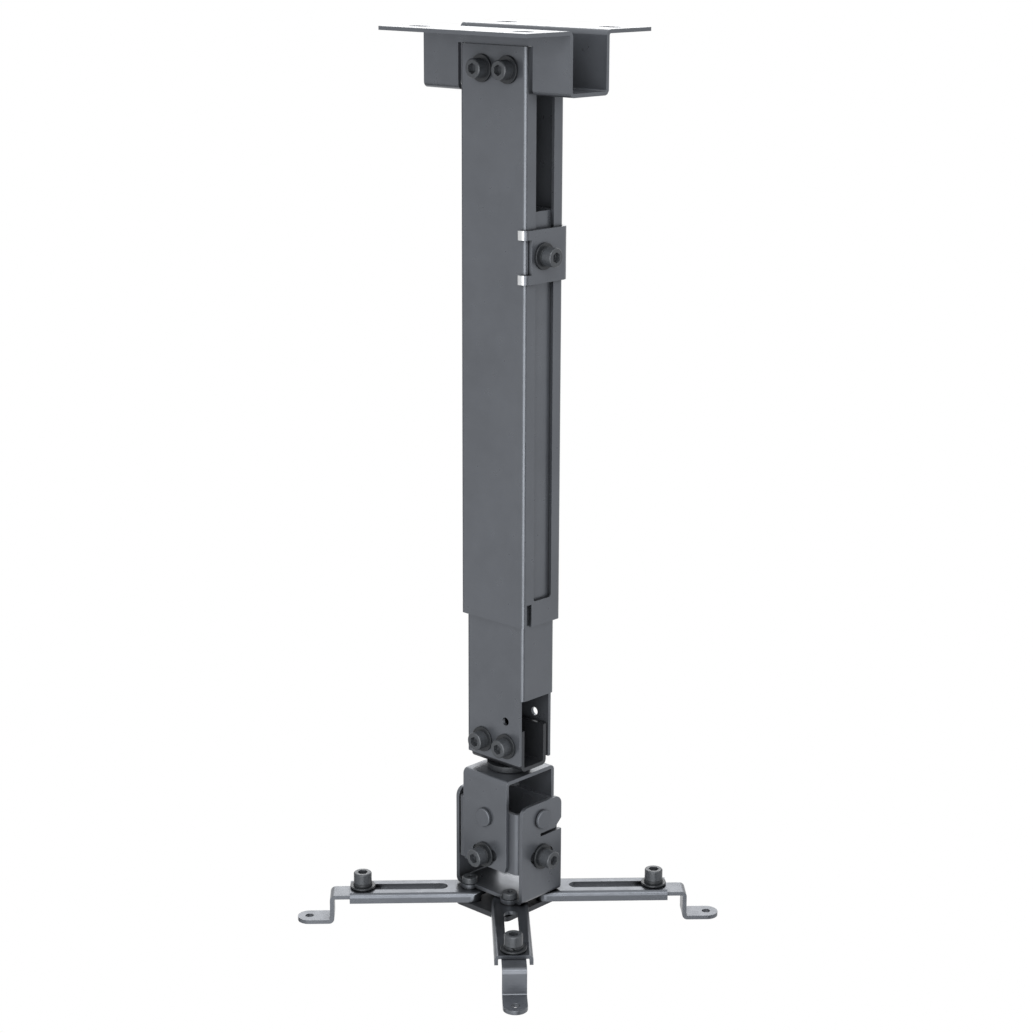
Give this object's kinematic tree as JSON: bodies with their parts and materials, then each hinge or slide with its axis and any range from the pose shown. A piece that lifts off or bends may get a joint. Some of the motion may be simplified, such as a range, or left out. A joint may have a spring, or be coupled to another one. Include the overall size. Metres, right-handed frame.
{
  "type": "projector wall mount",
  "caption": "Dark grey steel projector drop mount with a folded ceiling bracket, telescopic box column, tilting gimbal head and swinging slotted arms with sliding feet.",
  "frame": {"origin": "middle of the ceiling bracket on the face that meets the ceiling or wall", "axes": "+Z out of the mounting face, away from the projector; X along the bracket and the wide front of the column, which faces -Y; the part hangs below z = 0"},
  "size_m": [0.171, 0.171, 0.4908],
  "materials": {
    "grey_powder_coat": "satin dark grey powder coat, sprayed on folded steel sheet",
    "charcoal_coat": "satin charcoal coat on a pressed steel part",
    "dark_fastener": "dark grey coated steel fastener",
    "plated_steel": "plain plated steel, mostly hidden"
  },
  "bodies": {
    "ceiling_part": {"ceiling_bracket": "grey_powder_coat", "outer_column": "grey_powder_coat", "column_screws": "dark_fastener", "column_washers": "dark_fastener", "column_nuts": "dark_fastener"},
    "drop_part": {"inner_column": "grey_powder_coat", "column_clamp": "grey_powder_coat", "clamp_screws": "dark_fastener", "clamp_spring_washers": "dark_fastener", "clamp_washers": "dark_fastener", "clamp_nuts": "dark_fastener", "neck_bracket": "charcoal_coat", "neck_screws": "dark_fastener", "neck_washers": "dark_fastener", "neck_nuts": "dark_fastener", "swivel_bolt": "plated_steel", "swivel_spacer": "plated_steel", "swivel_washer": "dark_fastener", "swivel_nut": "dark_fastener"},
    "swivel_part": {"roll_yoke": "grey_powder_coat"},
    "gimbal_part": {"gimbal_frame": "grey_powder_coat", "roll_pivots": "grey_powder_coat", "roll_lock_screws": "dark_fastener", "roll_lock_spring_washers": "dark_fastener", "roll_lock_washers": "dark_fastener", "roll_lock_nuts": "dark_fastener", "tilt_pivots": "grey_powder_coat", "tilt_lock_screws": "dark_fastener", "tilt_lock_spring_washers": "dark_fastener", "tilt_lock_washers": "dark_fastener", "tilt_lock_nuts": "dark_fastener"},
    "base_part": {"tilt_yoke": "grey_powder_coat", "arm_pivot_screws": "dark_fastener", "arm_bushes": "plated_steel", "retaining_plate": "charcoal_coat"},
    "arm_part_left": {"arm_left": "grey_powder_coat"},
    "foot_part_left": {"foot_left": "grey_powder_coat", "foot_washer_left": "dark_fastener", "foot_spring_washer_left": "dark_fastener", "foot_screw_left": "dark_fastener"},
    "arm_part_front": {"arm_front": "grey_powder_coat"},
    "foot_part_front": {"foot_front": "grey_powder_coat", "foot_washer_front": "dark_fastener", "foot_spring_washer_front": "dark_fastener", "foot_screw_front": "dark_fastener"},
    "arm_part_right": {"arm_right": "grey_powder_coat"},
    "foot_part_right": {"foot_right": "grey_powder_coat", "foot_washer_right": "dark_fastener", "foot_spring_washer_right": "dark_fastener", "foot_screw_right": "dark_fastener"},
    "arm_part_back": {"arm_back": "grey_powder_coat"},
    "foot_part_back": {"foot_back": "grey_powder_coat", "foot_washer_back": "dark_fastener", "foot_spring_washer_back": "dark_fastener", "foot_screw_back": "dark_fastener"}
  },
  "joints": [
    {"name": "height", "type": "slide", "parent": "ceiling_part", "child": "drop_part", "axis": [0, 0, -1], "range_m": [-0.057, 0.163]},
    {"name": "swivel", "type": "hinge", "parent": "drop_part", "child": "swivel_part", "pos_m": [0, -0.0028, -0.4002], "axis": [0, 0, 1], "continuous": true},
    {"name": "roll", "type": "hinge", "parent": "swivel_part", "child": "gimbal_part", "pos_m": [0, -0.0028, -0.4245], "axis": [0, 1, 0], "range_deg": [-15, 15]},
    {"name": "tilt", "type": "hinge", "parent": "gimbal_part", "child": "base_part", "pos_m": [0, -0.0028, -0.4245], "axis": [1, 0, 0], "range_deg": [-15, 15]},
    {"name": "arm_swing_left", "type": "hinge", "parent": "base_part", "child": "arm_part_left", "pos_m": [-0.01527, -0.01807, -0.4716], "axis": [0, 0, 1], "range_deg": [-45, 45]},
    {"name": "foot_slide_left", "type": "slide", "parent": "arm_part_left", "child": "foot_part_left", "axis": [-0.7071, -0.7071, 0], "range_m": [-0.042, 0]},
    {"name": "arm_swing_front", "type": "hinge", "parent": "base_part", "child": "arm_part_front", "pos_m": [0.01527, -0.01807, -0.4716], "axis": [0, 0, 1], "range_deg": [-45, 45]},
    {"name": "foot_slide_front", "type": "slide", "parent": "arm_part_front", "child": "foot_part_front", "axis": [0.7071, -0.7071, 0], "range_m": [-0.042, 0]},
    {"name": "arm_swing_right", "type": "hinge", "parent": "base_part", "child": "arm_part_right", "pos_m": [0.01527, 0.01247, -0.4716], "axis": [0, 0, 1], "range_deg": [-45, 45]},
    {"name": "foot_slide_right", "type": "slide", "parent": "arm_part_right", "child": "foot_part_right", "axis": [0.7071, 0.7071, 0], "range_m": [-0.042, 0]},
    {"name": "arm_swing_back", "type": "hinge", "parent": "base_part", "child": "arm_part_back", "pos_m": [-0.01527, 0.01247, -0.4716], "axis": [0, 0, 1], "range_deg": [-45, 45]},
    {"name": "foot_slide_back", "type": "slide", "parent": "arm_part_back", "child": "foot_part_back", "axis": [-0.7071, 0.7071, 0], "range_m": [-0.042, 0]}
  ]
}
